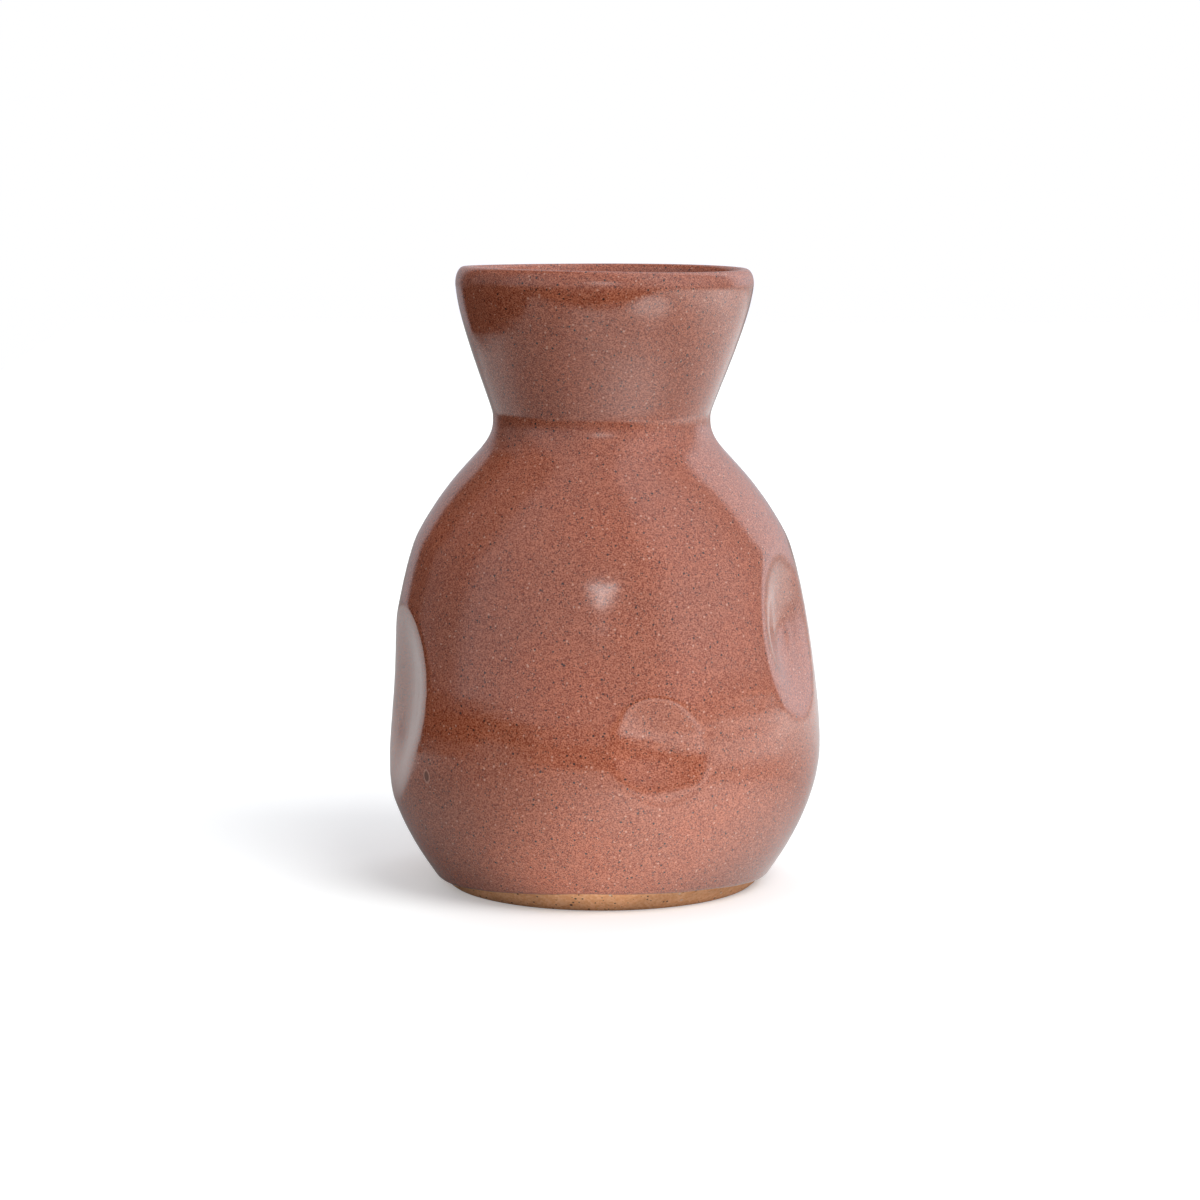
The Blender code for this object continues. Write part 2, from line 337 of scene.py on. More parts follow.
bellyPoints, collarPoints = outsideCurves()
sidePoints = np.concatenate((bellyPoints, collarPoints))
sideLine = lineTable(sidePoints, sidePoints[:, 1], 1)
hollow = hollowLine(sideLine)
innerRim = np.array((hollow["radius"][-1], hollow["height"][-1]))
lipPoints = lipCurve(collarPoints[-1], innerRim)
overLip = np.concatenate((sidePoints, lipPoints))
outside = lineTable(overLip, np.minimum(overLip[:, 1], thrownForm["rim"]), 1)
outside["skin"][outside["along"] > sideLine["along"][-1]] = thrownForm["rim"]
angles = np.linspace(0.0, 2 * np.pi, thrownForm["columns"], endpoint=False)[None, :]
print("outline ready:", len(outside["along"]), "outside points,", len(hollow["along"]), "inside")


# Materials

def newNode(tree, kind, **settings):
    node = tree.nodes.new(kind)
    for name, value in settings.items():
        setattr(node, name, value)
    return node


def setSocket(tree, node, name, value):
    socket = node.inputs[name]
    if isinstance(value, bpy.types.NodeSocket):
        tree.links.new(value, socket)
    else:
        socket.default_value = value


def maths(tree, operation, first, second=0.0, third=0.0):
    node = newNode(tree, "ShaderNodeMath", operation=operation)
    setSocket(tree, node, 0, first)
    setSocket(tree, node, 1, second)
    setSocket(tree, node, 2, third)
    return node.outputs[0]


# Value from one span to another, smoothly, held at the ends
def remap(tree, value, low, high, newLow, newHigh):
    node = newNode(tree, "ShaderNodeMapRange", interpolation_type="SMOOTHSTEP")
    for name, setting in (
        ("Value", value), ("From Min", low), ("From Max", high), ("To Min", newLow), ("To Max", newHigh)
    ):
        setSocket(tree, node, name, setting)
    return node.outputs["Result"]


def mixColour(tree, share, first, second, blend="MIX"):
    node = newNode(tree, "ShaderNodeMix", data_type="RGBA", blend_type=blend)
    setSocket(tree, node, 0, share)
    setSocket(tree, node, 6, first)
    setSocket(tree, node, 7, second)
    return node.outputs[2]


def noise(tree, vector, scale, detail, roughness=0.5):
    node = newNode(tree, "ShaderNodeTexNoise")
    setSocket(tree, node, "Vector", vector)
    setSocket(tree, node, "Scale", scale)
    setSocket(tree, node, "Detail", detail)
    setSocket(tree, node, "Roughness", roughness)
    return node.outputs["Fac"]


speckShape = {
    "least": 0.35,  # smallest speck, as a share of the largest
    "core": 0.55,  # share of a speck that is full
}
bodyGrain = {
    "ragged": 0.12 * mm,
    "paleOffset": (31.7 * mm, 12.3 * mm, 47.9 * mm),  # pale specks lie elsewhere
    "ownShare": 0.75,  # shade of each grain
    "softShare": 0.25,  # and of the soft noise
    "pepperScale": 3.1,
    "pepperShare": 0.45,
    "pepperSize": 0.5,
    "darkRelief": -0.3,
    "paleRelief": 0.2,
    "cloudDetail": 3.0,
    "cloudRough": 0.55,
}


# Specks: one spot in some of the cells of a random pattern, of random size
def speckMask(tree, vector, scale, share, size):
    cells = newNode(tree, "ShaderNodeTexVoronoi", feature="F1")
    setSocket(tree, cells, "Vector", vector)
    setSocket(tree, cells, "Scale", scale)
    setSocket(tree, cells, "Randomness", 1.0)
    draw = newNode(tree, "ShaderNodeSeparateColor")
    tree.links.new(cells.outputs["Color"], draw.inputs[0])
    chosen = maths(tree, "LESS_THAN", draw.outputs[0], share)
    reach = maths(tree, "MULTIPLY", size, remap(tree, draw.outputs[1], 0.0, 1.0, speckShape["least"], 1.0))
    inner = maths(tree, "MULTIPLY", reach, speckShape["core"])
    spot = remap(tree, cells.outputs["Distance"], inner, reach, 1.0, 0.0)
    return maths(tree, "MULTIPLY", chosen, spot)


# Node group shared by the glazes, the clay and the slip: fine grain, dark and pale specks,
# slow clouds and relief
def groggedBody(c):
    group = bpy.data.node_groups.new("groggedBody", "ShaderNodeTree")
    wanted = (
        ("Vector", "NodeSocketVector", 0.0),
        ("Grain Scale", "NodeSocketFloat", 2000.0),
        ("Speck Scale", "NodeSocketFloat", 300.0),
        ("Dark Share", "NodeSocketFloat", 0.3),
        ("Pale Share", "NodeSocketFloat", 0.2),
        ("Speck Size", "NodeSocketFloat", 0.2),
        ("Cloud Scale", "NodeSocketFloat", 60.0),
    )
    for name, kind, value in wanted:
        socket = group.interface.new_socket(name=name, in_out="INPUT", socket_type=kind)
        if kind == "NodeSocketFloat":
            socket.default_value = value
    for name in ("Grain", "Dark", "Pale", "Cloud", "Relief"):
        group.interface.new_socket(name=name, in_out="OUTPUT", socket_type="NodeSocketFloat")
    given = newNode(group, "NodeGroupInput").outputs
    result = newNode(group, "NodeGroupOutput")

    ragged = newNode(group, "ShaderNodeTexNoise")  # breaks up the round edge of the specks
    setSocket(group, ragged, "Vector", given["Vector"])
    setSocket(group, ragged, "Scale", given["Grain Scale"])
    shift = newNode(group, "ShaderNodeVectorMath", operation="MULTIPLY_ADD")
    setSocket(group, shift, 0, ragged.outputs["Color"])
    setSocket(group, shift, 1, (c["ragged"],) * 3)
    setSocket(group, shift, 2, given["Vector"])
    other = newNode(group, "ShaderNodeVectorMath", operation="ADD")
    setSocket(group, other, 0, shift.outputs[0])
    setSocket(group, other, 1, c["paleOffset"])

    grains = newNode(group, "ShaderNodeTexVoronoi", feature="F1")  # each grain has its own shade
    setSocket(group, grains, "Vector", given["Vector"])
    setSocket(group, grains, "Scale", given["Grain Scale"])
    shade = newNode(group, "ShaderNodeSeparateColor")
    setSocket(group, shade, 0, grains.outputs["Color"])
    soft = noise(group, given["Vector"], given["Grain Scale"], 1.0)
    soft = remap(group, soft, 0.25, 0.75, 0.0, 1.0)
    softPart = maths(group, "MULTIPLY", soft, c["softShare"])
    grain = maths(group, "MULTIPLY_ADD", shade.outputs[0], c["ownShare"], softPart)
    grain = remap(group, grain, 0.1, 0.9, 0.0, 1.0)
    scale, size = given["Speck Scale"], given["Speck Size"]
    dark = speckMask(group, shift.outputs[0], scale, given["Dark Share"], size)
    pepperScale = maths(group, "MULTIPLY", scale, c["pepperScale"])
    pepperShare = maths(group, "MULTIPLY", given["Dark Share"], c["pepperShare"])
    pepper = speckMask(group, given["Vector"], pepperScale, pepperShare, c["pepperSize"])
    dark = maths(group, "MAXIMUM", dark, pepper)
    pale = speckMask(group, other.outputs[0], scale, given["Pale Share"], size)
    cloud = noise(group, given["Vector"], given["Cloud Scale"], c["cloudDetail"], c["cloudRough"])
    relief = maths(group, "MULTIPLY_ADD", dark, c["darkRelief"], soft)
    relief = maths(group, "MULTIPLY_ADD", pale, c["paleRelief"], relief)
    made = {"Grain": grain, "Dark": dark, "Pale": pale, "Cloud": cloud, "Relief": relief}
    for name, value in made.items():
        setSocket(group, result, name, value)
    return group


bodyGroup = groggedBody(bodyGrain)

glazeFinish = {
    "deep": (0.200, 0.029, 0.007, 1.0),  # brown between the grains
    "grain": (0.560, 0.186, 0.099, 1.0),  # pink of the grains
    "iron": (0.034, 0.015, 0.011, 1.0),
    "fleck": (0.600, 0.290, 0.200, 1.0),
    "cloudWarm": (1.04, 1.00, 0.96, 1.0),
    "cloudCool": (0.96, 1.00, 1.04, 1.0),
    "ior": 1.9,
    "rough": 0.05,
    "roughGrain": 0.03,
    "dull": 0.24,  # roughness on the lip and just below the waist
    "dullBands": (  # height of each band's middle, and half its height
        (thrownForm["crest"], 3.0 * mm),
        (thrownForm["waist"] - 3.0 * mm, 3.5 * mm),
    ),
    "dullFade": 2.0 * mm,
    "relief": 0.004 * mm,
    "orangePeel": 0.02 * mm,
    "peelScale": 420.0,
    "values": {
        "Grain Scale": 4800.0,
        "Speck Scale": 760.0,
        "Dark Share": 0.60,
        "Pale Share": 0.50,
        "Speck Size": 0.27,
        "Cloud Scale": 55.0,
    },
}
# One larger iron spot low on the left, with a paler rim
ironSpot = {
    "angle": -51.0,
    "height": 31.5 * mm,
    "half": (1.0 * mm, 1.0 * mm, 1.5 * mm),
    "colour": (0.170, 0.046, 0.020, 1.0),
    "rim": (0.600, 0.300, 0.215, 1.0),
    "core": 0.7,  # the spot's colour is full to here, as a share of its half sizes
    "rimReach": 1.35,
    "rimShare": 0.6,
}
linerFinish = dict(
    glazeFinish, deep=(0.195, 0.036, 0.013, 1.0), grain=(0.510, 0.165, 0.088, 1.0), rough=0.14
)

clayFinish = {
    "sand": (0.720, 0.330, 0.145, 1.0),
    "grog": (0.860, 0.470, 0.250, 1.0),
    "iron": (0.070, 0.034, 0.022, 1.0),
    "pale": (0.750, 0.560, 0.420, 1.0),
    "clouds": (0.88, 1.08),  # darkest and lightest cloud
    "rough": 0.82,
    "roughGrain": 0.1,
    "relief": 0.07 * mm,
    "values": {
        "Grain Scale": 1700.0,
        "Speck Scale": 420.0,
        "Dark Share": 0.35,
        "Pale Share": 0.35,
        "Speck Size": 0.20,
        "Cloud Scale": 90.0,
    },
}
slipFinish = dict(
    clayFinish, sand=(0.380, 0.190, 0.095, 1.0), grog=(0.460, 0.240, 0.120, 1.0), rough=0.9
)


def startMaterial(name, values):
    material = bpy.data.materials.new(name)
    material.use_nodes = True
    tree = material.node_tree
    shader = tree.nodes["Principled BSDF"]
    place = newNode(tree, "ShaderNodeTexCoord").outputs["Object"]
    body = newNode(tree, "ShaderNodeGroup", node_tree=bodyGroup)
    tree.links.new(place, body.inputs["Vector"])
    for key, value in values.items():
        body.inputs[key].default_value = value
    return material, tree, shader, place, body.outputs


# Spot as an ellipsoid round a place on the coat: its own colour inside, and the rim's round that
def spotted(tree, colour, place, c):
    along = np.interp(c["height"], sideLine["height"], sideLine["along"])
    radius = readLine(sideLine, along, "radius") + thrownForm["coat"]
    centre = shapedGrid(np.array(math.radians(c["angle"])), radius, c["height"], c["height"])
    offset = newNode(tree, "ShaderNodeVectorMath", operation="SUBTRACT")
    setSocket(tree, offset, 0, place)
    setSocket(tree, offset, 1, tuple(centre))
    scaled = newNode(tree, "ShaderNodeVectorMath", operation="DIVIDE")
    setSocket(tree, scaled, 0, offset.outputs[0])
    setSocket(tree, scaled, 1, c["half"])
    away = newNode(tree, "ShaderNodeVectorMath", operation="LENGTH")
    setSocket(tree, away, 0, scaled.outputs[0])
    rim = remap(tree, away.outputs["Value"], 1.0, c["rimReach"], c["rimShare"], 0.0)
    spot = remap(tree, away.outputs["Value"], c["core"], 1.0, 1.0, 0.0)
    return mixColour(tree, spot, mixColour(tree, rim, colour, c["rim"]), c["colour"])


# Glossy glaze over a speckled body: grain, iron specks and pale flecks, browner at its edge above the foot
def glazeMaterial(name, finish, spot=None):
    material, tree, shader, place, body = startMaterial(name, finish["values"])
    colour = mixColour(tree, body["Grain"], finish["deep"], finish["grain"])
    cloud = remap(tree, body["Cloud"], 0.3, 0.7, 0.0, 1.0)
    tint = mixColour(tree, cloud, finish["cloudWarm"], finish["cloudCool"])
    colour = mixColour(tree, 1.0, colour, tint, "MULTIPLY")
    colour = mixColour(tree, body["Pale"], colour, finish["fleck"])
    colour = mixColour(tree, body["Dark"], colour, finish["iron"])
    if spot:
        colour = spotted(tree, colour, place, spot)
    # darker brown in a narrow band along the glaze's lower edge above the foot, from the mark on the points
    edgeBrown = newNode(tree, "ShaderNodeAttribute", attribute_name="glazeEdgeBrown").outputs["Fac"]
    colour = mixColour(tree, edgeBrown, colour, finish["deep"])
    tree.links.new(colour, shader.inputs["Base Color"])
    rough = maths(tree, "MULTIPLY_ADD", body["Grain"], finish["roughGrain"], finish["rough"])
    parts = newNode(tree, "ShaderNodeSeparateXYZ")
    setSocket(tree, parts, 0, place)
    for height, half in finish["dullBands"]:
        away = maths(tree, "ABSOLUTE", maths(tree, "SUBTRACT", parts.outputs["Z"], height))
        band = remap(tree, away, half, half + finish["dullFade"], finish["dull"], 0.0)
        rough = maths(tree, "MAXIMUM", rough, band)
    tree.links.new(rough, shader.inputs["Roughness"])
    shader.inputs["IOR"].default_value = finish["ior"]

    fine = newNode(tree, "ShaderNodeBump")
    fine.inputs["Distance"].default_value = finish["relief"]
    tree.links.new(body["Relief"], fine.inputs["Height"])
    peel = newNode(tree, "ShaderNodeBump")
    peel.inputs["Distance"].default_value = finish["orangePeel"]
    tree.links.new(noise(tree, place, finish["peelScale"], 1.0), peel.inputs["Height"])
    tree.links.new(peel.outputs[0], fine.inputs["Normal"])
    tree.links.new(fine.outputs[0], shader.inputs["Normal"])
    return material


# Bare fired clay or slip: sandy grain, grog and iron, matt
def clayMaterial(name, finish):
    material, tree, shader, _, body = startMaterial(name, finish["values"])
    colour = mixColour(tree, body["Grain"], finish["sand"], finish["grog"])
    cloud = remap(tree, body["Cloud"], 0.3, 0.7, *finish["clouds"])
    shade = newNode(tree, "ShaderNodeCombineColor")
    for channel in range(3):
        tree.links.new(cloud, shade.inputs[channel])
    colour = mixColour(tree, 1.0, colour, shade.outputs[0], "MULTIPLY")
    colour = mixColour(tree, body["Pale"], colour, finish["pale"])
    colour = mixColour(tree, body["Dark"], colour, finish["iron"])
    tree.links.new(colour, shader.inputs["Base Color"])
    rough = maths(tree, "MULTIPLY_ADD", body["Grain"], finish["roughGrain"], finish["rough"])
    tree.links.new(rough, shader.inputs["Roughness"])
    bump = newNode(tree, "ShaderNodeBump")
    bump.inputs["Distance"].default_value = finish["relief"]
    tree.links.new(body["Relief"], bump.inputs["Height"])
    tree.links.new(bump.outputs[0], shader.inputs["Normal"])
    return material


outerGlazeLook = glazeMaterial("speckledGlaze", glazeFinish, ironSpot)
linerLook = glazeMaterial("linerGlaze", linerFinish)
clayLook = clayMaterial("bareClay", clayFinish)
slipLook = clayMaterial("firedSlip", slipFinish)
print("materials ready")

# Outer coat of glaze: a wavy line above the foot with a rolled edge, up over the lip
outerCoat = {
    "line": 1.7 * mm,  # height of the bare foot at the back
    "lineRise": 3.4 * mm,  # more at the front
    "lineTurn": 7.0,
    "linePower": 3.5,  # how firmly the line rises towards the front
    "lineWaves": ((5, 0.12 * mm, 1.3), (9, 0.08 * mm, 0.6), (17, 0.04 * mm, 2.0)),
    "edge": 1.0 * mm,  # reach of the rolled edge
    "sink": 0.05 * mm,
    "bead": 0.12 * mm,
    "beadPlace": 1.4,  # from the edge, as a share of its reach
    # reach of the band along the lower edge that is drawn darker brown
    "edgeBrownReach": 0.7 * mm,
    "underFade": 4.0 * mm,
    "edgeRows": 16,
    "edgeSpan": 3.5 * mm,
    "sideRows": 190,
    "lipRows": 30,
    "underRows": 60,
    "rings": 0.015 * mm,
    "ringPitch": 5.2 * mm,
}


def outerGlazePoints(c):
    f = thrownForm
    frontShare = (1.0 + np.cos(angles - math.radians(c["lineTurn"]))) / 2
    lineHeight = c["line"] + c["lineRise"] * frontShare ** c["linePower"]
    for turns, depth, start in c["lineWaves"]:
        lineHeight += depth * np.cos(turns * angles + start)
    sideEnd = sideLine["along"][-1]
    lineStart = np.interp(lineHeight, sideLine["height"], sideLine["along"])
    edge = (np.linspace(0.0, 1.0, c["edgeRows"]) ** 2 * c["edgeSpan"])[:, None] + lineStart
    share = np.linspace(0.0, 1.0, c["sideRows"] + 1)[1:, None]
    side = edge[-1:] + (sideEnd - edge[-1:]) * share
    lip = np.linspace(sideEnd, outside["along"][-1], c["lipRows"] + 1)[1:, None] + 0.0 * angles
    along = np.concatenate((edge, side, lip))
    away = along - lineStart
    roll = np.sqrt(1.0 - (1.0 - np.clip(away / c["edge"], 0.0, 1.0)) ** 2)
    bead = c["bead"] * np.exp(-(((away - c["beadPlace"] * c["edge"]) / c["edge"]) ** 2)) * roll
    skin = readLine(outside, along, "skin")
    rings = c["rings"] * (np.cos(2 * np.pi * skin / c["ringPitch"]) - 1.0) / 2
    over = (f["coat"] + c["sink"]) * roll - c["sink"] + bead + rings * roll
    # narrow band along the glaze's lower edge, drawn darker brown in the material
    edgeBrown = np.exp(-((away / c["edgeBrownReach"]) ** 2))

    underShare = np.linspace(1.0, 0.0, c["underRows"] + 1)[:-1, None]
    underAlong = lineStart + (outside["along"][-1] - lineStart) * underShare
    underAway = np.clip((underAlong - lineStart) / c["underFade"], 0.0, 1.0)
    under = (f["gap"] + c["sink"]) * underAway - c["sink"]
    along = np.concatenate((along, underAlong))
    offset = np.concatenate((over, under))
    radius = readLine(outside, along, "radius") + readLine(outside, along, "faceOut") * offset
    height = readLine(outside, along, "height") + readLine(outside, along, "faceUp") * offset
    marks = np.concatenate((edgeBrown, np.zeros_like(underAlong)))
    return shapedGrid(angles, radius, height, readLine(outside, along, "skin")), marks


points, marks = outerGlazePoints(outerCoat)
outerGlaze = gridPiece("outerGlazeCoat", points, True, outerGlazeLook, marks)
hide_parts("outer_glaze")

# Inner coat of glaze: from just inside the lip down to the floor, over faint throwing ridges
innerCoat = {
    "rows": 150,
    "underRows": 40,
    "hub": 2.0 * mm,  # first ring round the axis
    "crowd": 0.4,
    "ridge": 0.12 * mm,
    "ridgePitch": 6.5 * mm,
    "calmRim": 12.0 * mm,  # the ridges fade out towards the rim
    "calmFloor": 20.0 * mm,  # and towards the middle of the floor
}


def linerPoints(c):
    f = thrownForm
    end = hollow["along"][-1]
    over = crowdedSteps(end, c["hub"], c["rows"], c["crowd"])[:, None]
    under = np.linspace(c["hub"], end, c["underRows"])[:, None]
    along = np.concatenate((under, over))
    skin = readLine(hollow, along, "skin")
    spiral = 1.0 + np.cos(2 * np.pi * skin / c["ridgePitch"] - angles)
    calm = np.clip((end - along) / c["calmRim"], 0.0, 1.0)
    calm = calm * np.clip(along / c["calmFloor"], 0.0, 1.0)
    offset = f["coat"] + c["ridge"] * spiral * calm / 2
    offset = np.where(np.arange(len(along))[:, None] < c["underRows"], f["gap"], offset)
    radius = readLine(hollow, along, "radius") + readLine(hollow, along, "faceOut") * offset
    height = readLine(hollow, along, "height") + readLine(hollow, along, "faceUp") * offset
    return shapedGrid(angles, radius, height, skin)


linerGlaze = gridPiece("linerGlazeCoat", linerPoints(innerCoat), False, linerLook)
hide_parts("liner_glaze")

# Clay belly: flat foot with fine trimming grooves, the outside up to the joint,
# and the hollow down to the floor
clayBelly = {
    "baseRows": 50,
    "footRows": 44,
    "footSpan": 12.0 * mm,
    "sideRows": 60,
    "hollowRows": 80,
    "baseHub": 1.5 * mm,  # first ring round the axis, underneath
    "floorHub": 2.0 * mm,  # and on the floor
    "groove": 0.08 * mm,
    "groovePitch": 2.2 * mm,
    "grooveCalm": 4.0 * mm,  # the grooves fade out towards the edge
}


def bellyGrid(c):
    f = thrownForm
    baseRadius = np.linspace(c["baseHub"], f["footRadius"], c["baseRows"] + 1)[:-1, None]
    groove = c["groove"] * (1.0 + np.cos(2 * np.pi * baseRadius / c["groovePitch"] - angles)) / 2
    groove *= np.clip((f["footRadius"] - baseRadius) / c["grooveCalm"], 0.0, 1.0)
    jointAlong = np.interp(f["waist"] - f["halfJoint"], sideLine["height"], sideLine["along"])
    foot = np.linspace(0.0, c["footSpan"], c["footRows"])
    side = np.linspace(c["footSpan"], jointAlong, c["sideRows"] + 1)[1:]
    outer = np.concatenate((foot, side))[:, None]
    seatHeight = f["waist"] - f["halfJoint"] + f["seatRise"]
    seat = np.interp(seatHeight, hollow["height"], hollow["along"])
    inner = np.linspace(seat, c["floorHub"], c["hollowRows"])[:, None]
    rows = (
        (baseRadius, groove, 0.0 * baseRadius),
        tuple(readLine(sideLine, outer, name) for name in ("radius", "height", "skin")),
        tuple(readLine(hollow, inner, name) for name in ("radius", "height", "skin")),
    )
    return np.concatenate([shapedGrid(angles, *row) for row in rows])


bellyClay = gridPiece("clayBelly", bellyGrid(clayBelly), False, clayLook)
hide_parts("stoneware_belly")

# Clay collar: the flare, the round of the lip and the inside, on the sloping joint
clayCollar = {"sideRows": 40, "lipRows": 16, "hollowRows": 40}


def collarGrid(c):
    f = thrownForm
    jointAlong = np.interp(f["waist"] + f["halfJoint"], sideLine["height"], sideLine["along"])
    sideEnd = sideLine["along"][-1]
    side = np.linspace(jointAlong, sideEnd, c["sideRows"])
    lip = np.linspace(sideEnd, outside["along"][-1], c["lipRows"] + 1)[1:]
    outer = np.concatenate((side, lip))[:, None]
    seatHeight = f["waist"] + f["halfJoint"] + f["seatRise"]
    seat = np.interp(seatHeight, hollow["height"], hollow["along"])
    inner = np.linspace(hollow["along"][-1], seat, c["hollowRows"] + 1)[1:, None]
    rows = (
        tuple(readLine(outside, outer, name) for name in ("radius", "height", "skin")),
        tuple(readLine(hollow, inner, name) for name in ("radius", "height", "skin")),
    )
    return np.concatenate([shapedGrid(angles, *row) for row in rows])


collarClay = gridPiece("clayCollar", collarGrid(clayCollar), True, clayLook)
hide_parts("stoneware_collar")

# Slip ring: the frame's own node in its joint, with the slip's finish
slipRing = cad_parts["luting_slip"]
slipRing.data.materials.clear()
slipRing.data.materials.append(slipLook)
print("pieces ready")

# Floor: a plain pale sheet, with its brightness set apart for the camera, for matt sides and for the glaze
floorSheet = {
    "corners": (
        (-0.60, 3.0), (-0.37, 0.38), (-0.335, 0.05), (-0.30, -0.12), (-0.45, -0.29),
        (0.15, -0.345), (0.27, -0.40), (0.62, -0.70), (3.0, -2.5), (3.0, 3.0),
    ),
    "colour": (0.90, 0.92, 0.90, 1.0),
    "seenWhite": 0.26,  # lifts the lit sheet to white for the camera
    "bounced": 0.58,  # share of its light that reaches matt sides
    "mirrored": 0.75,  # and the share that the glaze mirrors
    # Brighter places in the glaze's reflection: place, where it starts to fade and ends, and level
    "pools": (
        ((0.07, -0.08, 0.0), 0.03, 0.13, 0.60),
        ((0.21, -0.29, 0.0), 0.05, 0.14, 0.95),
        ((0.85, -0.10, 0.0), 0.30, 0.65, 0.66),
        ((0.60, 0.45, 0.0), 0.30, 0.70, 0.50),
        ((-0.30, 0.25, 0.0), 0.15, 0.32, 0.24),
    ),
    "litFrom": (-0.14, 0.08),  # the light on the sheet rises to the right, between these places
    "litTurn": -0.35,  # and so much to the back
    "litLeast": 0.45,
}


def paleFloor(c):
    mesh = bpy.data.meshes.new("floorSheet")
    corners = [(x, y, 0.0) for x, y in c["corners"]]
    mesh.from_pydata(corners, [], [range(len(corners))])
    material = bpy.data.materials.new("paleSheet")
    material.use_nodes = True
    tree = material.node_tree
    tree.nodes.remove(tree.nodes["Principled BSDF"])
    plain = newNode(tree, "ShaderNodeBsdfDiffuse")
    rays = newNode(tree, "ShaderNodeLightPath")
    coordinates = newNode(tree, "ShaderNodeTexCoord").outputs["Object"]
    place = newNode(tree, "ShaderNodeSeparateXYZ")
    setSocket(tree, place, 0, coordinates)
    along = maths(tree, "MULTIPLY_ADD", place.outputs["Y"], c["litTurn"], place.outputs["X"])
    rightShare = remap(tree, along, *c["litFrom"], 0.0, 1.0)
    lit = maths(tree, "MULTIPLY_ADD", rightShare, 1.0 - c["litLeast"], c["litLeast"])
    lit = maths(tree, "MAXIMUM", lit, rays.outputs["Is Camera Ray"])
    for ray, share in (("Is Diffuse Ray", c["bounced"]), ("Is Glossy Ray", c["mirrored"])):
        lit = maths(tree, "MULTIPLY", lit, remap(tree, rays.outputs[ray], 0.0, 1.0, 1.0, share))
    sheetColour = newNode(tree, "ShaderNodeCombineColor")
    for channel in range(3):
        setSocket(tree, sheetColour, channel, maths(tree, "MULTIPLY", lit, c["colour"][channel]))
    setSocket(tree, plain, "Color", sheetColour.outputs[0])
    lift = maths(tree, "MULTIPLY", rays.outputs["Is Camera Ray"], c["seenWhite"])
    for poolPlace, near, far, level in c["pools"]:
        away = newNode(tree, "ShaderNodeVectorMath", operation="DISTANCE")
        setSocket(tree, away, 0, coordinates)
        setSocket(tree, away, 1, poolPlace)
        pool = remap(tree, away.outputs["Value"], near, far, level, 0.0)
        lift = maths(tree, "MULTIPLY_ADD", rays.outputs["Is Glossy Ray"], pool, lift)
    white = newNode(tree, "ShaderNodeEmission")
    tree.links.new(lift, white.inputs["Strength"])
    both = newNode(tree, "ShaderNodeAddShader")
    tree.links.new(plain.outputs[0], both.inputs[0])
    tree.links.new(white.outputs[0], both.inputs[1])
    tree.links.new(both.outputs[0], tree.nodes["Material Output"].inputs["Surface"])
    mesh.materials.append(material)
    sheet = bpy.data.objects.new("floorSheet", mesh)
    bpy.context.scene.collection.objects.link(sheet)


paleFloor(floorSheet)

# Studio: walls of light round the bottle, brighter to the right, a soft key light, a soft fill,
# a lamp on the sheet in front of the foot, and glints for the highlight on the front.
# Each wall runs from one angle to another (0 is the camera's side, 90 is +X), soft by so much at either
# end, with its level and the heights, as sines, between which it comes up.
studio = {
    "colour": (1.0, 1.0, 1.08, 1.0),
    "room": 0.05,
    "walls": (
        # Open room
        {"ends": (-84.0, 118.0), "soft": (8.0, 3.0), "level": 0.24, "rise": (0.0, 0.01)},
        {"ends": (-84.0, -40.0), "soft": (8.0, 15.0), "level": 0.18, "rise": (0.0, 0.01)},
        # Its ground
        {"ends": (-40.0, 118.0), "soft": (15.0, 3.0), "level": 0.18, "rise": (-0.46, -0.10)},
        # Soft box, right
        {"ends": (36.0, 97.0), "soft": (14.0, 21.0), "level": 0.36, "rise": (-0.08, 0.14)},
        # Sweep behind, right
        {"ends": (118.0, 158.0), "soft": (2.5, 40.0), "level": 1.30, "rise": (-0.41, -0.40)},
        # Sweep behind, left
        {"ends": (170.0, 215.0), "soft": (15.0, 2.0), "level": 0.42, "rise": (-0.41, -0.40)},
        # Card on the left
        {"ends": (-122.0, -84.0), "soft": (5.0, 8.0), "level": 0.14, "rise": (0.0, 0.01)},
    ),
    "topShare": 0.95,  # the walls dim to this share overhead
    "under": 0.02,  # beyond the edge of the sheet
    "keyAngle": 41.0,
    "keyRise": 47.0,
    "keySpread": 34.0,
    "keyPower": 1.55,
    "bouncePlace": (0.045, -0.120, 0.0004),  # lamp on the sheet, facing up
    "bounceSize": 0.15,
    "bouncePower": 0.078,
    "fillAngle": -142.0,  # soft fill from behind on the left
    "fillRise": 20.0,
    "fillSpread": 60.0,
    "fillPower": 1.1,
    "glintTilt": 74.0,
    "glints": (  # small lights above and behind the camera: place, width, height and power
        ((0.008, -0.95, 0.472), 0.42, 0.07, 0.105),
        ((0.006, -0.95, 0.428), 0.42, 0.07, 0.105),
        ((0.004, -0.95, 0.388), 0.30, 0.07, 0.075),
        ((0.000, -0.95, 0.350), 0.13, 0.07, 0.032),
    ),
}


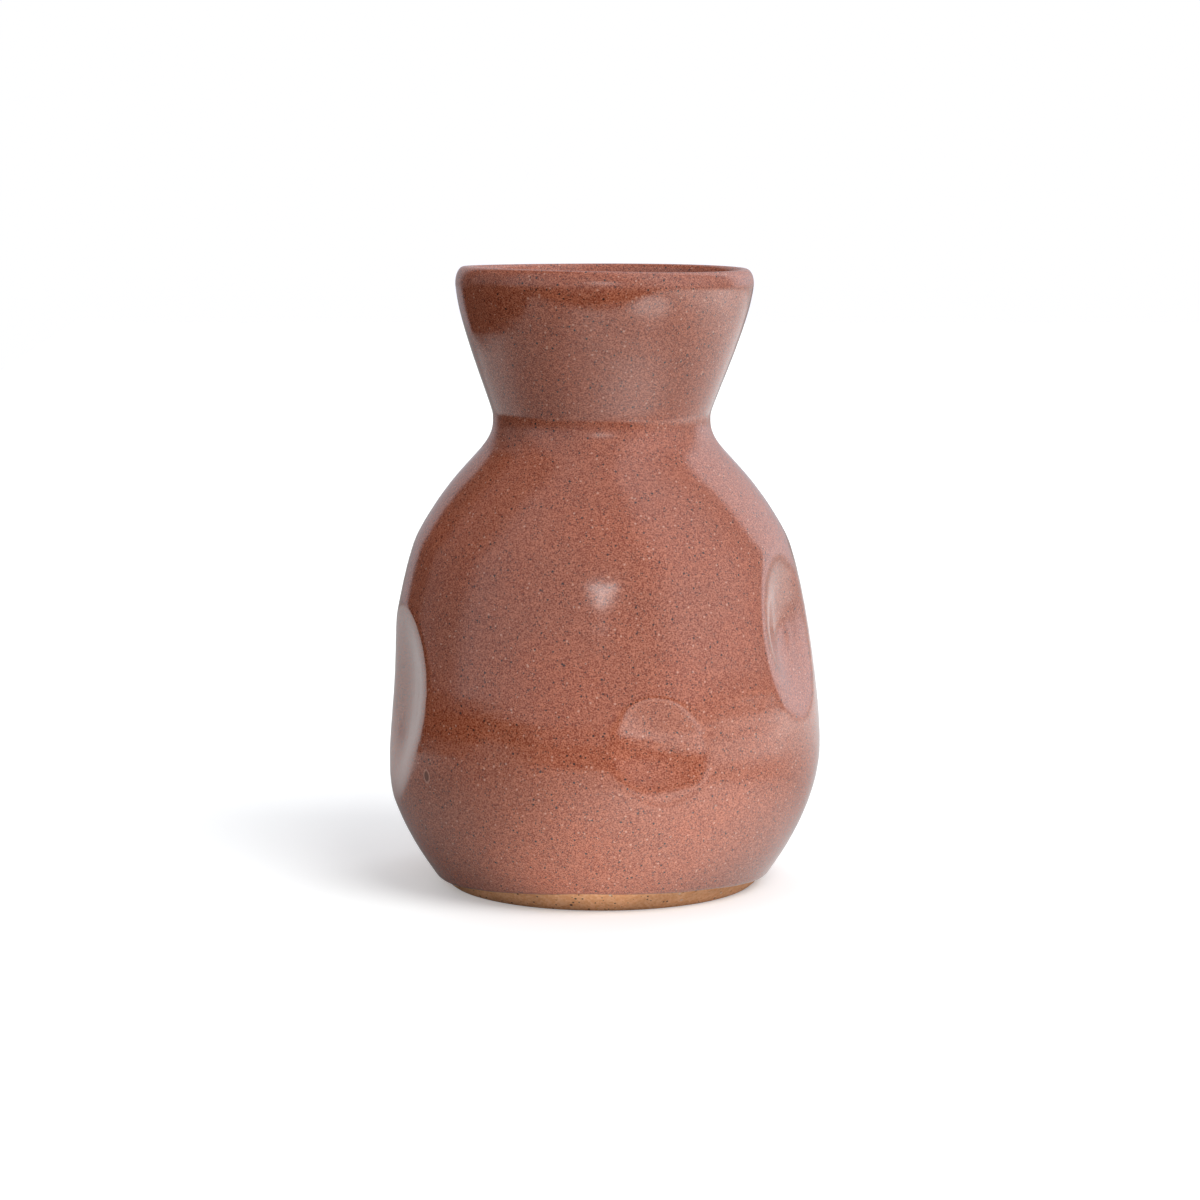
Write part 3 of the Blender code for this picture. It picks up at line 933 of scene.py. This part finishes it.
def studioWorld(c):
    world = bpy.data.worlds.new("studio")
    bpy.context.scene.world = world
    world.use_nodes = True
    tree = world.node_tree
    tree.nodes.clear()
    parts = newNode(tree, "ShaderNodeSeparateXYZ")
    setSocket(tree, parts, 0, newNode(tree, "ShaderNodeTexCoord").outputs["Generated"])
    frontWay = maths(tree, "MULTIPLY", parts.outputs["Y"], -1.0)
    turn = maths(tree, "ARCTAN2", parts.outputs["X"], frontWay)
    up = parts.outputs["Z"]
    level = maths(tree, "MULTIPLY", maths(tree, "GREATER_THAN", up, 0.0), c["room"])
    for wall in c["walls"]:
        first, last = (math.radians(end) for end in wall["ends"])
        softFirst, softLast = (math.radians(soft) for soft in wall["soft"])
        middle, half = (first + last) / 2, (last - first) / 2
        away = maths(tree, "WRAP", maths(tree, "SUBTRACT", turn, middle), math.pi, -math.pi)
        rising = remap(tree, away, -half - softFirst, -half + softFirst, 0.0, wall["level"])
        lit = remap(tree, away, half - softLast, half + softLast, rising, 0.0)
        shown = remap(tree, up, *wall["rise"], 0.0, 1.0)
        level = maths(tree, "MULTIPLY_ADD", lit, shown, level)
    level = maths(tree, "MULTIPLY", level, remap(tree, up, 0.0, 1.0, 1.0, c["topShare"]))
    level = maths(tree, "MAXIMUM", level, c["under"])
    seen = newNode(tree, "ShaderNodeLightPath").outputs["Is Camera Ray"]
    level = maths(tree, "MAXIMUM", level, seen)  # white behind the bottle
    light = newNode(tree, "ShaderNodeBackground")
    light.inputs["Color"].default_value = c["colour"]
    tree.links.new(level, light.inputs["Strength"])
    output = newNode(tree, "ShaderNodeOutputWorld")
    tree.links.new(light.outputs[0], output.inputs["Surface"])


# Soft sun from an angle round the bottle and a rise above the floor, not mirrored in the glaze
def softSun(name, angle, rise, spread, power):
    lamp = bpy.data.lights.new(name, "SUN")
    lamp.energy = power
    lamp.angle = math.radians(spread)
    sun = bpy.data.objects.new(name, lamp)
    sun.rotation_euler = (math.radians(90.0 - rise), 0.0, math.radians(angle))
    sun.visible_glossy = False
    bpy.context.scene.collection.objects.link(sun)


def bounceLight(c):
    lamp = bpy.data.lights.new("bounceLight", "AREA")
    lamp.size = c["bounceSize"]
    lamp.energy = c["bouncePower"]
    bounce = bpy.data.objects.new("bounceLight", lamp)
    bounce.location = c["bouncePlace"]
    bounce.rotation_euler = (math.pi, 0.0, 0.0)
    bounce.visible_camera = False
    bounce.visible_glossy = False
    bpy.context.scene.collection.objects.link(bounce)


def glintLights(c):
    for place, width, height, power in c["glints"]:
        lamp = bpy.data.lights.new("glintLight", "AREA")
        lamp.shape = "ELLIPSE"
        lamp.size, lamp.size_y = width, height
        lamp.energy = power
        glint = bpy.data.objects.new("glintLight", lamp)
        glint.location = place
        glint.rotation_euler = (math.radians(c["glintTilt"]), 0.0, 0.0)
        bpy.context.scene.collection.objects.link(glint)


studioWorld(studio)
softSun("keyLight", studio["keyAngle"], studio["keyRise"], studio["keySpread"], studio["keyPower"])
softSun("fillLight", studio["fillAngle"], studio["fillRise"], studio["fillSpread"], studio["fillPower"])
bounceLight(studio)
glintLights(studio)

# Camera at the photograph's viewing angle
cameraStand = {"place": (-0.0004, -0.810, 0.1734), "tilt": 82.663, "lens": 100.34, "sensor": 36.0}


def standCamera(c):
    data = bpy.data.cameras.new("camera")
    data.lens = c["lens"]
    data.sensor_width = c["sensor"]
    camera = bpy.data.objects.new("camera", data)
    camera.location = c["place"]
    camera.rotation_euler = (math.radians(c["tilt"]), 0.0, 0.0)
    bpy.context.scene.collection.objects.link(camera)
    bpy.context.scene.camera = camera


standCamera(cameraStand)
bpy.context.scene.view_settings.view_transform = "Standard"
print("studio ready")
